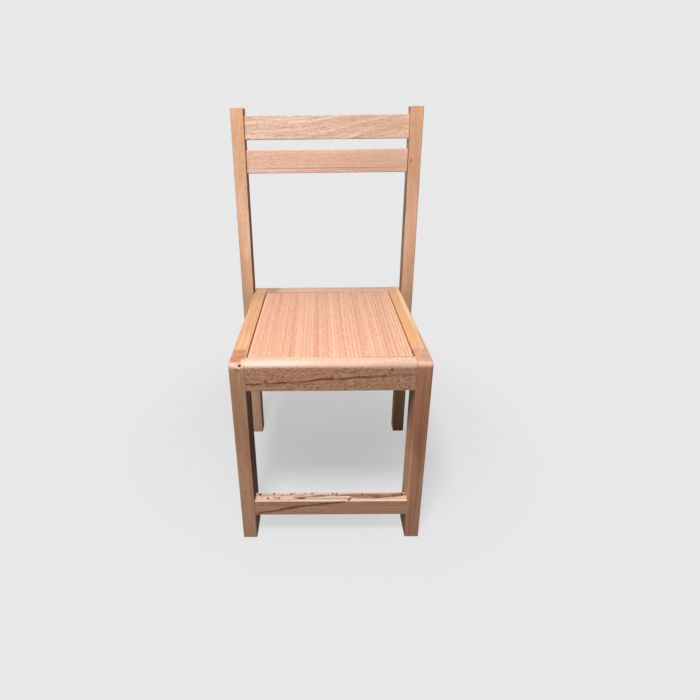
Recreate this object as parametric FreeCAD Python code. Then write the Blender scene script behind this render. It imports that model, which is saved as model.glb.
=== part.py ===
import FreeCAD, Part
import math
import os

# A child's stacking chair in raw beech. Millimetres, +Z up, the front faces -Y.
# It is drawn with the front of its front legs at y = 0, and centred on the floor when it is saved.

# Overall sizes
seat_height = 320.0
seat_width = 282.0  # over the seat frame, inside the back posts
seat_depth = 306.0  # front of the legs to the back ends of the side rails
back_height = 650.0
board = 22.0  # thickness of the legs, posts and side and back rails
front_board = 18.5  # thickness of the front rail and the stretcher

# Front legs and seat rails
leg_depth = 42.0
rail_height = 44.0
front_round = 9.0  # rounded edge along the front of the seat
arris = 1.0  # small chamfer that takes the sharpness off the other edges

# Back posts, upright below the seat and raked above it
post_depth = 25.0
post_inset = 9.5  # back ends of the side rails to the backs of the posts
post_rake = 1.6  # degrees
knee_radius = 250.0

# Back slats
slat_height = 39.0
slat_thickness = 14.0
slat_setback = 8.0  # front of the posts to the front of the slats
slat_gap = 17.0
slat_drop = 12.0  # tops of the posts to the top of the upper slat

# Front stretcher
stretcher_height = 27.5
stretcher_rise = 47.5
stretcher_setback = 0.5

# Seat panel and the cleats that carry it
panel_thickness = 9.0
panel_gap = 1.2
panel_recess = 1.5  # below the tops of the rails
cleat_width = 15.0
cleat_height = 15.0

# Stub tenons in blind mortises
tenon_length = 14.0
tenon_thickness = 8.0
tenon_shoulder = 5.0
glue_gap = 0.15
end_gap = 1.0  # spare depth at the bottom of a mortise or dowel hole

# Dowels
dowel_diameter = 8.0
dowel_reach = 20.0  # into end grain, and into the front legs
dowel_spacing = 24.0
dowel_cover = 6.0  # wood left outside a dowel hole in a side rail

# Countersunk screws: shank, head and the wood left in front of the tip
post_screw_shank = 5.0
post_screw_head = 9.0
post_screw_spacing = 11.0
post_screw_cover = 5.0
small_screw_shank = 3.5
small_screw_head = 7.0
cleat_screw_cover = 7.0
panel_screw_cover = 4.0
cleat_screw_margin = 60.0  # end of a cleat to its first screw
screw_point_share = 0.9  # length of the point over the shank's diameter
screw_tip = 0.4
screw_sides = 12  # flat sides that stand for a screw's round ones

# Pins through the slat tenons, and the brad through the front rail's left tenon
pin_diameter = 2.6
pin_length = 20.0
pin_inset = 5.0  # inner face of the post to the pin
pin_sink = 0.6
brad_diameter = 2.4
brad_length = 20.0
brad_inset = 6.6  # inner face of the leg to the brad
brad_sink = 2.5
brad_hole = 4.4
brad_tilt = 32.0  # degrees above level

LEFT = -1
RIGHT = 1
ALIGNED = 0.999  # cosine above which an edge counts as running along an axis
X_AXIS = FreeCAD.Vector(1, 0, 0)
Y_AXIS = FreeCAD.Vector(0, 1, 0)
Z_AXIS = FreeCAD.Vector(0, 0, 1)

# Places that several pieces share
frame_half = seat_width / 2
inner_half = frame_half - board
rail_bottom = seat_height - rail_height
rail_middle = seat_height - rail_height / 2
post_back = seat_depth - post_inset
post_front = post_back - post_depth
post_lean = (back_height - seat_height) * math.tan(math.radians(post_rake))
overall_depth = max(seat_depth, post_back + post_lean)
back_rail_front = seat_depth - board
panel_top = seat_height - panel_recess
cleat_top = panel_top - panel_thickness
cleat_bottom = cleat_top - cleat_height
cleat_middle = cleat_top - cleat_height / 2
top_slat_bottom = back_height - slat_drop - slat_height
lower_slat_bottom = top_slat_bottom - slat_gap - slat_height
slat_tenon_middle = post_front + slat_setback + slat_thickness / 2
stretcher_tenon_middle = stretcher_setback + front_board / 2
thinnest_rail = min(board, front_board)


def box(corner, opposite):
    """A box between two opposite corners, given in any order."""
    low = [min(pair) for pair in zip(corner, opposite)]
    size = [abs(a - b) for a, b in zip(corner, opposite)]
    return Part.makeBox(*size, FreeCAD.Vector(*low))


def eased(solid, along):
    """The solid with its straight edges along one axis chamfered."""
    edges = [edge for edge in solid.Edges
             if abs(edge.tangentAt(edge.FirstParameter).dot(along)) > ALIGNED]
    return solid.makeChamfer(arris, edges)


def eased_outline(solid, ends):
    """The solid with the edges of its left and right sides, and of its ends at these heights, chamfered."""
    edges = [edge for edge in solid.Edges
             if edge.BoundBox.XLength < arris / 2
             or any(abs(edge.CenterOfMass.z - height) < arris / 2 for height in ends)]
    return solid.makeChamfer(arris, edges)


def raked(solid):
    """The solid leant back with the posts, turned about their front edge at seat height."""
    leant = solid.copy()
    leant.rotate(FreeCAD.Vector(0, post_front, seat_height), X_AXIS, -post_rake)
    return leant


def aimed(solid, start, direction):
    """A solid drawn along +Z from the origin, moved to a start and pointed along a direction."""
    turn = FreeCAD.Rotation(Z_AXIS, direction)
    moved = solid.copy()
    moved.Placement = FreeCAD.Placement(start, turn)
    return moved


def tenon_bar(reach, middle, bottom, height, gap=0.0, spare=0.0):
    """The bar whose ends are a crosspiece's two tenons; with a gap and spare depth, their mortises."""
    half = reach + tenon_length + spare
    side = tenon_thickness / 2 + gap
    low = bottom + tenon_shoulder - gap
    high = bottom + height - tenon_shoulder + gap
    return box((-half, middle - side, low), (half, middle + side, high))


def slat_mortises(bottom):
    """The mortises of one slat in both posts."""
    return raked(tenon_bar(frame_half, slat_tenon_middle, bottom, slat_height, glue_gap, end_gap))


def front_rail_mortises():
    """The mortises of the front rail in both front legs."""
    return tenon_bar(inner_half, front_board / 2, rail_bottom, rail_height, glue_gap, end_gap)


def stretcher_mortises():
    """The mortises of the stretcher in both front legs."""
    return tenon_bar(inner_half, stretcher_tenon_middle, stretcher_rise, stretcher_height, glue_gap, end_gap)


def rod(diameter, length):
    """A round rod standing on the origin."""
    return Part.makeCylinder(diameter / 2, length)


def dowel(start, direction, length, gap=0.0, spare=0.0):
    """A dowel from a start along a direction; with a gap and spare depth at both ends, its hole."""
    hole_start = start - direction * spare
    return aimed(rod(dowel_diameter + 2 * gap, length + 2 * spare), hole_start, direction)


def dowel_heights():
    """The heights of the pair of dowels in one rail end."""
    return [rail_middle - dowel_spacing / 2, rail_middle + dowel_spacing / 2]


def side_rail_dowels(side, gap=0.0, spare=0.0):
    """The dowels of a side rail in its front leg, from inside the leg to inside the rail."""
    middle = side * (frame_half - board / 2)
    starts = [FreeCAD.Vector(middle, leg_depth - dowel_reach, z) for z in dowel_heights()]
    return [dowel(start, Y_AXIS, 2 * dowel_reach, gap, spare) for start in starts]


def back_rail_dowels(side, gap=0.0, spare=0.0):
    """The dowels of one end of the back rail, from inside the rail to inside the side rail."""
    length = dowel_reach + board - dowel_cover
    middle = seat_depth - board / 2
    starts = [FreeCAD.Vector(side * (inner_half - dowel_reach), middle, z) for z in dowel_heights()]
    return [dowel(start, X_AXIS * side, length, gap, spare) for start in starts]


def screw_ring(radius, height):
    """The many-sided outline of a screw at one height, as corners that end where they start."""
    turns = [2 * math.pi * step / screw_sides for step in range(screw_sides)]
    corners = [FreeCAD.Vector(radius * math.cos(turn), radius * math.sin(turn), height) for turn in turns]
    return corners + corners[:1]


def screw(shank, head, length, start, direction, gap=0.0):
    """A countersunk screw with its head flush at the start; with a gap, its hole."""
    shank_radius = shank / 2 + gap
    head_radius = head / 2 + gap
    cone = head_radius - shank_radius
    end = length + gap
    point = end - shank * screw_point_share
    outline = [(head_radius, 0), (shank_radius, cone), (shank_radius, point), (screw_tip / 2, end)]
    rings = [screw_ring(radius, height) for radius, height in outline]
    walls = [
        [low[side], low[side + 1], high[side + 1], high[side], low[side]]
        for low, high in zip(rings, rings[1:]) for side in range(screw_sides)
    ]
    faces = [Part.Face(Part.makePolygon(corners)) for corners in walls + [rings[0], rings[-1]]]
    return aimed(Part.makeSolid(Part.makeShell(faces)), start, direction)


def post_screws(side, gap=0.0):
    """The screws from inside one side rail into its post."""
    middle = post_front + post_depth / 2
    length = 2 * board - post_screw_cover
    places = [middle - post_screw_spacing / 2, middle + post_screw_spacing / 2]
    return [
        screw(post_screw_shank, post_screw_head, length,
              FreeCAD.Vector(side * inner_half, y, cleat_middle), X_AXIS * side, gap)
        for y in places
    ]


def side_cleat_places():
    """How far back the screws of a side cleat stand: three into the rail, two up into the panel."""
    first = front_board + cleat_screw_margin
    last = back_rail_front - cleat_screw_margin
    middle = (first + last) / 2
    return [first, middle, last], [(first + middle) / 2, (middle + last) / 2]


def end_cleat_places():
    """Where across the chair the screws of a front or back cleat stand."""
    outer = inner_half - cleat_width - cleat_screw_margin
    return [-outer, outer], [0.0]


def cleat_screw(start, direction, gap):
    """A screw through a cleat's width into a rail."""
    length = cleat_width + thinnest_rail - cleat_screw_cover
    return screw(small_screw_shank, small_screw_head, length, start, direction, gap)


def panel_screw(x, y, gap):
    """A screw up through a cleat into the seat panel."""
    length = cleat_height + panel_thickness - panel_screw_cover
    return screw(small_screw_shank, small_screw_head, length, FreeCAD.Vector(x, y, cleat_bottom), Z_AXIS, gap)


def cleat_screws(gap=0.0):
    """All the screws that hold the cleats to the rails."""
    face = inner_half - cleat_width
    screws = [
        cleat_screw(FreeCAD.Vector(side * face, y, cleat_middle), X_AXIS * side, gap)
        for side in (LEFT, RIGHT) for y in side_cleat_places()[0]
    ]
    ends = [(front_board + cleat_width, Y_AXIS * -1), (back_rail_front - cleat_width, Y_AXIS)]
    screws += [
        cleat_screw(FreeCAD.Vector(x, y, cleat_middle), direction, gap)
        for y, direction in ends for x in end_cleat_places()[0]
    ]
    return screws


def panel_screws(gap=0.0):
    """All the screws that hold the panel down."""
    middle = inner_half - cleat_width / 2
    screws = [panel_screw(side * middle, y, gap) for side in (LEFT, RIGHT) for y in side_cleat_places()[1]]
    ends = [front_board + cleat_width / 2, back_rail_front - cleat_width / 2]
    return screws + [panel_screw(x, y, gap) for y in ends for x in end_cleat_places()[1]]


def slat_pins(side, gap=0.0, sink=pin_sink):
    """The pins through one post into the slats' tenons; with no sink, their holes from the post's face."""
    heights = [bottom + slat_height / 2 for bottom in (top_slat_bottom, lower_slat_bottom)]
    x = side * (frame_half + pin_inset)
    length = pin_length - sink + gap
    pins = [aimed(rod(pin_diameter + 2 * gap, length), FreeCAD.Vector(x, post_front + sink, z), Y_AXIS)
            for z in heights]
    return [raked(pin) for pin in pins]


def brad_line():
    """The middle of the rounded front edge where the brad crosses it, and the way the brad goes in."""
    tilt = math.radians(brad_tilt)
    inward = FreeCAD.Vector(0, math.cos(tilt), -math.sin(tilt))
    middle = FreeCAD.Vector(-(inner_half + brad_inset), front_round, seat_height - front_round)
    return middle, inward


def front_rail_brad():
    """The brad sunk in the rounded top of the left front leg."""
    middle, inward = brad_line()
    return aimed(rod(brad_diameter, brad_length), middle - inward * (front_round - brad_sink), inward)


def brad_holes():
    """The brad's hole, and the wider mouth that it was sunk through."""
    middle, inward = brad_line()
    head = middle - inward * (front_round - brad_sink)
    hole = aimed(rod(brad_diameter + 2 * glue_gap, brad_length + glue_gap), head, inward)
    mouth = aimed(rod(brad_hole, front_round), head - inward * front_round, inward)
    return [hole, mouth]


def front_edge_face(depth, bottom, x):
    """An upright outline in the plane x with the rounded front edge of the seat at its top."""
    def point(y, z):
        return FreeCAD.Vector(x, y, z)
    middle_of_round = front_round * (1 - math.sqrt(0.5))
    round_start = point(0, seat_height - front_round)
    round_end = point(front_round, seat_height)
    arc = Part.Arc(round_start, point(middle_of_round, seat_height - middle_of_round), round_end)
    corners = [round_end, point(depth, seat_height), point(depth, bottom), point(0, bottom), round_start]
    lines = [Part.LineSegment(a, b) for a, b in zip(corners, corners[1:])]
    return Part.Face(Part.Wire([part.toShape() for part in [arc] + lines]))


def front_leg(side):
    """A front leg with its mortises, its dowel holes and, on the left, the brad's hole."""
    outline = front_edge_face(leg_depth, 0, min(side * frame_half, side * inner_half))
    leg = eased_outline(outline.extrude(X_AXIS * board), [0])
    holes = side_rail_dowels(side, glue_gap, end_gap) + [front_rail_mortises(), stretcher_mortises()]
    if side == LEFT:
        holes += brad_holes()
    return leg.cut(holes)


def post_knee(y):
    """The arc in a post's outline where it leans back from upright, on the edge at y."""
    reach = knee_radius * math.tan(math.radians(post_rake) / 2)
    lean = math.radians(post_rake)
    start = FreeCAD.Vector(0, y, seat_height - reach)
    end = FreeCAD.Vector(0, y + reach * math.sin(lean), seat_height + reach * math.cos(lean))
    middle = FreeCAD.Vector(
        0, y + knee_radius * (1 - math.cos(lean / 2)), start.z + knee_radius * math.sin(lean / 2))
    return Part.Arc(start, middle, end), start, end


def back_post(side):
    """A back post with its knee, the slats' mortises, the pins' holes and the screw holes."""
    front_arc, front_start, front_end = post_knee(post_front)
    back_arc, back_start, back_end = post_knee(post_back)
    top_front = FreeCAD.Vector(0, post_front + post_lean, back_height)
    top_back = FreeCAD.Vector(0, post_back + post_lean, back_height)
    foot_front = FreeCAD.Vector(0, post_front, 0)
    foot_back = FreeCAD.Vector(0, post_back, 0)
    runs = [(foot_front, front_start), (front_end, top_front), (top_front, top_back),
            (top_back, back_end), (back_start, foot_back), (foot_back, foot_front)]
    parts = [Part.LineSegment(a, b) for a, b in runs] + [front_arc, back_arc]
    wire = Part.Wire(Part.__sortEdges__([part.toShape() for part in parts]))
    post = eased_outline(Part.Face(wire).extrude(X_AXIS * board), [0, back_height])
    post.translate(X_AXIS * (frame_half if side == RIGHT else -frame_half - board))
    holes = [slat_mortises(bottom) for bottom in (top_slat_bottom, lower_slat_bottom)]
    return post.cut(holes + slat_pins(side, glue_gap, 0.0) + post_screws(side, glue_gap))


def side_rail(side):
    """A side rail with its dowel holes and the holes of the post's and the cleat's screws."""
    rail = box((side * inner_half, leg_depth, rail_bottom), (side * frame_half, seat_depth, seat_height))
    holes = side_rail_dowels(side, glue_gap, end_gap) + back_rail_dowels(side, glue_gap, end_gap)
    return eased(rail, Y_AXIS).cut(holes + post_screws(side, glue_gap) + cleat_screws(glue_gap))


def front_rail():
    """The front rail with its rounded edge, its tenons and the holes of the brad and the screws."""
    outline = front_edge_face(front_board, rail_bottom, -inner_half)
    rail = outline.extrude(X_AXIS * (2 * inner_half))
    tenons = tenon_bar(inner_half, front_board / 2, rail_bottom, rail_height)
    return rail.fuse(tenons).removeSplitter().cut(brad_holes() + cleat_screws(glue_gap))


def back_rail():
    """The back rail between the side rails."""
    rail = box((-inner_half, back_rail_front, rail_bottom), (inner_half, seat_depth, seat_height))
    holes = back_rail_dowels(LEFT, glue_gap, end_gap) + back_rail_dowels(RIGHT, glue_gap, end_gap)
    return eased(rail, X_AXIS).cut(holes + cleat_screws(glue_gap))


def front_stretcher():
    """The low rail between the front legs."""
    low = (-inner_half, stretcher_setback, stretcher_rise)
    high = (inner_half, stretcher_setback + front_board, stretcher_rise + stretcher_height)
    tenons = tenon_bar(inner_half, stretcher_tenon_middle, stretcher_rise, stretcher_height)
    return eased(box(low, high), X_AXIS).fuse(tenons).removeSplitter()


def slat(bottom):
    """A back slat with its tenons and the holes of its pins."""
    front = post_front + slat_setback
    low = (-frame_half, front, bottom)
    high = (frame_half, front + slat_thickness, bottom + slat_height)
    tenons = tenon_bar(frame_half, slat_tenon_middle, bottom, slat_height)
    whole = raked(eased(box(low, high), X_AXIS).fuse(tenons).removeSplitter())
    return whole.cut(slat_pins(LEFT, glue_gap, 0.0) + slat_pins(RIGHT, glue_gap, 0.0))


def seat_panel():
    """The plywood seat panel, loose by the gap all round and chamfered along its top edges."""
    half = inner_half - panel_gap
    low = (-half, front_board + panel_gap, cleat_top)
    high = (half, back_rail_front - panel_gap, panel_top)
    panel = box(low, high)
    edges = [edge for edge in panel.Edges if edge.BoundBox.ZMin > panel_top - arris / 2]
    return panel.makeChamfer(arris, edges).cut(panel_screws(glue_gap))


def side_cleat(side):
    """A cleat along a side rail, from the front rail to the back rail."""
    near = side * (inner_half - cleat_width)
    cleat = box((near, front_board, cleat_bottom), (side * inner_half, back_rail_front, cleat_top))
    return cleat.cut(cleat_screws(glue_gap) + panel_screws(glue_gap))


def end_cleat(near, far):
    """A cleat between the side cleats, along the front or the back rail."""
    half = inner_half - cleat_width
    cleat = box((-half, near, cleat_bottom), (half, far, cleat_top))
    return cleat.cut(cleat_screws(glue_gap) + panel_screws(glue_gap))


def save(name, solids):
    """Writes one node, moved so that the middle of the chair stands on the origin."""
    shape = Part.Compound(solids) if len(solids) > 1 else solids[0]
    shape.translate(Y_AXIS * (-overall_depth / 2))
    shape.exportStep(os.path.join("parts", name + ".step"))


def build():
    """Every piece of the chair by name."""
    pieces = {}
    for name, side in (("left", LEFT), ("right", RIGHT)):
        pieces[name + "_front_leg"] = [front_leg(side)]
        pieces[name + "_back_post"] = [back_post(side)]
        pieces[name + "_side_rail"] = [side_rail(side)]
        pieces[name + "_seat_cleat"] = [side_cleat(side)]
        pieces[name + "_post_screws"] = post_screws(side)
    pieces["front_rail"] = [front_rail()]
    pieces["back_rail"] = [back_rail()]
    pieces["front_stretcher"] = [front_stretcher()]
    pieces["top_slat"] = [slat(top_slat_bottom)]
    pieces["lower_slat"] = [slat(lower_slat_bottom)]
    pieces["seat_panel"] = [seat_panel()]
    pieces["front_seat_cleat"] = [end_cleat(front_board, front_board + cleat_width)]
    pieces["back_seat_cleat"] = [end_cleat(back_rail_front - cleat_width, back_rail_front)]
    pieces["side_rail_dowels"] = side_rail_dowels(LEFT) + side_rail_dowels(RIGHT)
    pieces["back_rail_dowels"] = back_rail_dowels(LEFT) + back_rail_dowels(RIGHT)
    pieces["cleat_screws"] = cleat_screws()
    pieces["panel_screws"] = panel_screws()
    pieces["slat_pins"] = slat_pins(LEFT) + slat_pins(RIGHT)
    pieces["front_rail_brad"] = [front_rail_brad()]
    return pieces


os.makedirs("parts", exist_ok=True)
for piece_name, piece_solids in build().items():
    save(piece_name, piece_solids)
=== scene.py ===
"""Looks of a child's stacking chair in raw beech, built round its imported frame.

Metres, +Z up, the front of the chair faces -Y. Grain and scars are written in millimetres.
"""

import logging
import math
from dataclasses import dataclass, field, replace
from enum import Enum
from typing import Any, Mapping, Optional, Sequence, Union

import bpy
import numpy as np
from mathutils import Matrix, Vector


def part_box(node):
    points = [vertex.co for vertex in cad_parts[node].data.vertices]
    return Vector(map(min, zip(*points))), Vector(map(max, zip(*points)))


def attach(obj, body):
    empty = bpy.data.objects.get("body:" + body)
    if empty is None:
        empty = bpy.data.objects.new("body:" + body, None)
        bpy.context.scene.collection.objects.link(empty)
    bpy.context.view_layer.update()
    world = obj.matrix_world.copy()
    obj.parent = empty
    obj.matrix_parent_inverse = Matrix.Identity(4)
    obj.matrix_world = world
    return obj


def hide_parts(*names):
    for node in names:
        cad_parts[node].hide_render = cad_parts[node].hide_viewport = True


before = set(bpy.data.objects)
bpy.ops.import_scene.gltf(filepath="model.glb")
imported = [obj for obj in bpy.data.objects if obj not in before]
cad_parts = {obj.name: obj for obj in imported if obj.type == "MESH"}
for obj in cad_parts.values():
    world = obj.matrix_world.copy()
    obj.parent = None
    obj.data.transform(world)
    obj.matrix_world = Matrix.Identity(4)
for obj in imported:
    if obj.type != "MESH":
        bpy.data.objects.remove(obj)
LOG = logging.getLogger("stacking_chair")

MM = 0.001
BODY = "root"
SCAR = "scar"
TORN = "torn"
UP = (0.0, 0.0, 1.0)
SMOOTH = {"interpolation_type": "SMOOTHSTEP"}

# Widths of softened edges, in millimetres
SOFT_EDGE = 0.35
FINE_EDGE = 0.1
SHARP_EDGE = 0.0
WELD_GAP = 0.01
EDGE_STEPS = 2
EDGE_ANGLE = 25.0  # degrees between faces that meet in an edge

Operand = Union["Signal", float]
Colour = tuple[float, float, float, float]
Row = tuple[float, float, float, float]
Point = tuple[float, float]
Place = tuple[float, float, float]
Line = tuple[Place, ...]
Values = Optional[Mapping[Any, Any]]


@dataclass(frozen=True)
class Tone:
    """A colour as it shows on a screen, each part from 0 to 255."""

    red: float
    green: float
    blue: float

    def linear(self) -> Colour:
        """The colour as light, for a shader's socket."""
        red, green, blue = (self._light(part / 255) for part in (self.red, self.green, self.blue))
        return (red, green, blue, 1.0)

    @staticmethod
    def _light(part: float) -> float:
        """One part of the colour, from 0 to 1, as light."""
        return part / 12.92 if part <= 0.04045 else ((part + 0.055) / 1.055) ** 2.4


class Signal:
    """A shader socket that can be written into sums with other sockets and numbers."""

    def __init__(self, graph: "Graph", socket: bpy.types.NodeSocket) -> None:
        """Keeps the socket and the graph that it belongs to."""
        self.graph = graph
        self.socket = socket

    def __add__(self, other: Operand) -> "Signal":
        """The sum of two values."""
        return self.graph.math("ADD", self, other)

    def __radd__(self, other: Operand) -> "Signal":
        """The sum of a number and this value."""
        return self.graph.math("ADD", other, self)

    def __sub__(self, other: Operand) -> "Signal":
        """The difference of two values."""
        return self.graph.math("SUBTRACT", self, other)

    def __rsub__(self, other: Operand) -> "Signal":
        """A number less this value."""
        return self.graph.math("SUBTRACT", other, self)

    def __mul__(self, other: Operand) -> "Signal":
        """The product of two values."""
        return self.graph.math("MULTIPLY", self, other)

    def __rmul__(self, other: Operand) -> "Signal":
        """The product of a number and this value."""
        return self.graph.math("MULTIPLY", other, self)

    def __truediv__(self, other: Operand) -> "Signal":
        """The quotient of two values."""
        return self.graph.math("DIVIDE", self, other)

    def step(self, low: float, high: float) -> "Signal":
        """A smooth rise from 0 at the low value to 1 at the high one."""
        ends = {"Value": self, "From Min": low, "From Max": high}
        return self.graph.signal("ShaderNodeMapRange", "Result", SMOOTH, ends)

    def fall(self, low: float, high: float) -> "Signal":
        """A smooth fall from 1 at the low value to 0 at the high one."""
        return 1 - self.step(low, high)

    def at_least(self, least: float) -> "Signal":
        """A value from 0 to 1, squeezed between a least value and 1."""
        return least + (1 - least) * self


class Graph:
    """The node tree of one material or sky, and the few ways in which its nodes are made."""

    def __init__(self, owner: Union[bpy.types.Material, bpy.types.World]) -> None:
        """Starts an empty tree.

        Args:
            owner: The material or the sky.
        """
        self.owner = owner
        self.owner.use_nodes = True
        self.tree = self.owner.node_tree
        self.tree.nodes.clear()

    def node(self, kind: str, settings: Values = None, inputs: Values = None) -> bpy.types.Node:
        """Adds one node.

        Args:
            kind: The node's type.
            settings: Properties of the node, set first.
            inputs: Values or links of its sockets, by name or number.

        Returns:
            The new node.
        """
        made = self.tree.nodes.new(kind)
        for key, value in (settings or {}).items():
            setattr(made, key, value)
        for key, value in (inputs or {}).items():
            if isinstance(value, Signal):
                self.tree.links.new(value.socket, made.inputs[key])
            else:
                made.inputs[key].default_value = value
        return made

    def signal(self, kind: str, output: Union[str, int], settings: Values = None,
               inputs: Values = None) -> Signal:
        """Adds one node and returns one of its outputs.

        Args:
            kind: The node's type.
            output: The output's name or number.
            settings: As for node.
            inputs: As for node.

        Returns:
            The output as a signal.
        """
        return Signal(self, self.node(kind, settings, inputs).outputs[output])

    def math(self, operation: str, *values: Operand) -> Signal:
        """A Math node on values."""
        return self.signal("ShaderNodeMath", 0, {"operation": operation}, dict(enumerate(values)))

    def vector(self, operation: str, *values: Any) -> Signal:
        """A Vector Math node on vectors."""
        output = "Value" if operation in ("DOT_PRODUCT", "LENGTH") else "Vector"
        return self.signal("ShaderNodeVectorMath", output, {"operation": operation},
                           dict(enumerate(values)))

    def facing(self, axis: Place) -> Signal:
        """How far the surface faces along an axis, from -1 to 1."""
        return self.vector("DOT_PRODUCT", self.signal("ShaderNodeNewGeometry", "Normal"), axis)

    def mix(self, factor: Operand, low: Any, high: Any) -> Signal:
        """A mix of two colours."""
        colours = {0: factor, 6: low, 7: high}
        return self.signal("ShaderNodeMix", 2, {"data_type": "RGBA"}, colours)

    def tinted(self, colour: Signal, *layers: tuple[Operand, Tone]) -> Signal:
        """Lays tones over a colour.

        Args:
            colour: The colour below.
            layers: The tones in order, each with the share that it covers.

        Returns:
            The colour with all the tones.
        """
        for share, tone in layers:
            colour = self.mix(share, colour, tone.linear())
        return colour

    def mix_shaders(self, factor: Operand, first: Signal, second: Signal) -> Signal:
        """A mix of two shaders."""
        return self.signal("ShaderNodeMixShader", 0, None, {0: factor, 1: first, 2: second})

    def noise(self, place: Signal, detail: float = 2.0, rough: float = 0.5) -> Signal:
        """A noise value over a vector that is already scaled."""
        inputs = {"Vector": place, "Scale": 1.0, "Detail": detail, "Roughness": rough}
        return self.signal("ShaderNodeTexNoise", 0, {"noise_dimensions": "3D"}, inputs)

    def bump(self, height: Signal, strength: float, depth: float) -> Signal:
        """A normal that follows a height, which is so many millimetres deep."""
        inputs = {"Strength": strength, "Distance": depth * MM, "Height": height}
        return self.signal("ShaderNodeBump", "Normal", None, inputs)

    def attribute(self, name: str) -> Signal:
        """A number that the mesh carries at each of its points."""
        return self.signal("ShaderNodeAttribute", "Fac", {"attribute_name": name})

    def shown(self) -> Signal:
        """Tells what the camera sees from what only lights the chair.

        Returns:
            1 for what is seen by itself, in a shine or through glass, and 0 for other light.
        """
        rays = self.node("ShaderNodeLightPath").outputs
        direct, shine, glass = (Signal(self, rays[f"Is {kind} Ray"])
                                for kind in ("Camera", "Glossy", "Transmission"))
        return self.math("MAXIMUM", direct, self.math("MAXIMUM", shine, glass))

    def surface(self, inputs: Mapping[str, Any]) -> bpy.types.Material:
        """Ends the tree with one principled surface.

        Args:
            inputs: Values or links of the shader's sockets.

        Returns:
            The finished material.
        """
        shader = self.signal("ShaderNodeBsdfPrincipled", 0, None, inputs)
        self.node("ShaderNodeOutputMaterial", None, {"Surface": shader})
        return self.owner


class Grain(Enum):
    """The axis that a board's grain runs along, then those across its wide face and into it."""

    X = (0, 2, 1)
    Y = (1, 0, 2)
    Z = (2, 0, 1)

    def axis(self) -> Place:
        """The direction of the grain."""
        return tuple(1.0 if index == self.value[0] else 0.0 for index in range(3))


@dataclass(frozen=True)
class GrainPlace:
    """Where a point of a board lies, in millimetres from the board's middle, by its grain."""

    graph: Graph
    along: Signal
    wide: Signal
    deep: Signal

    @classmethod
    def of(cls, graph: Graph, grain: Grain, node: str) -> "GrainPlace":
        """Reads the place from the object's own coordinates.

        Args:
            graph: The material's tree.
            grain: The axis of the grain.
            node: The CAD node whose middle the place is measured from.

        Returns:
            The place, along the grain, across the board's wide face and into it.
        """
        low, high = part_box(node)
        raw = graph.signal("ShaderNodeTexCoord", "Object")
        split = graph.node("ShaderNodeSeparateXYZ", None, {0: raw}).outputs
        parts = [(Signal(graph, split[axis]) - (low[axis] + high[axis]) / 2) / MM
                 for axis in grain.value]
        return cls(graph, *parts)

    def bowed(self, slope: float, curve: float) -> "GrainPlace":
        """The place in a board whose grain climbs across its face as it runs along."""
        climb = self.along * slope + self.along * self.along * curve
        return replace(self, wide=self.wide - climb)

    def scaled(self, size: Place, shift: float) -> Signal:
        """The place as a vector, each part divided by a length and shifted."""
        along, wide, deep = self.along / size[0], self.wide / size[1], self.deep / size[2]
        return self._vector(along + shift, wide + shift, deep - shift)

    def spot(self, middle: Place, reach: Place) -> Signal:
        """How far the place is from a spot's middle, 1 on its edge."""
        parts = zip((self.along, self.wide, self.deep), middle, reach)
        return self.graph.vector("LENGTH", self._vector(*((at - to) / by for at, to, by in parts)))

    def _vector(self, *parts: Signal) -> Signal:
        """Three numbers as one vector."""
        return self.graph.signal("ShaderNodeCombineXYZ", 0, None, dict(enumerate(parts)))


@dataclass(frozen=True)
class Cloud:
    """A noise in the wood: how long, wide and deep its blots are, and how far it is shifted."""

    size: Place
    shift: float = 0.0
    detail: float = 2.0
    rough: float = 0.5

    def over(self, place: GrainPlace, seed: float = 0.0) -> Signal:
        """The noise over a board, shifted once more by the board's own seed."""
        spot = place.scaled(self.size, seed + self.shift)
        return place.graph.noise(spot, self.detail, self.rough)


@dataclass(frozen=True)
class StainAndPaintedLight:
    """A patch of another colour in a board, with a ragged edge.

    Some patches are real stains and streaks; others are painted shade and painted light.
    Its middle and reach are in millimetres along the grain, across the board's face and into it.
    """

    middle: Place
    reach: Place
    tone: Tone
    share: float = 0.6
    edge_size: float = 0.45
    edge_shift: float = 0.37
    edge_reach: float = 1.5
    fade: Point = (-0.1, 0.5)

    def over(self, place: GrainPlace, colour: Signal) -> Signal:
        """Lays the patch over the wood's colour.

        Args:
            place: The place in the board.
            colour: The colour without the patch.

        Returns:
            The colour with it.
        """
        size = tuple(reach * self.edge_size for reach in self.reach)
        edge = Cloud(size, self.middle[0] * self.edge_shift, 3.0, 0.6).over(place)
        inside = self.edge_reach - place.spot(self.middle, self.reach) - edge
        return place.graph.tinted(colour, (inside.step(*self.fade) * self.share, self.tone))


FIBRE = Cloud((34, 0.55, 0.55), 0, 3, 0.6)
SPLINTER = Cloud((14, 0.9, 0.9), 1.3, 3, 0.65)
STREAK = Cloud((150, 1.7, 1.7), 3.1, 3, 0.55)
BAND = Cloud((240, 16, 16), 7.7)
SWAY = Cloud((190, 38, 38), 11)
DRIFT = Cloud((70, 14, 14), 17)
SPINDLE = Cloud((3.5, 0.75, 0.75), 23, 1)
RAY_PATCH = Cloud((45, 12, 12), 29, 1)
PORES = Cloud((1.2, 0.9, 0.9), 31, 3, 0.7)
BLOTCH = Cloud((9, 7, 7), 37)
MOTTLE = Cloud((4, 1.2, 1.2), 41, 2, 0.6)

# How far a surface faces upward or along the grain where these begin and are whole
TOP_FACE = (0.1, 0.7)
ROUND_END = (0.75, 1.0)
CUT_END = (0.5, 0.8)


def resized(cloud: Cloud, length: float, width: float) -> Cloud:
    """The same noise with blots of another length, as wide as deep."""
    return replace(cloud, size=(length, width, width))


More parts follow.
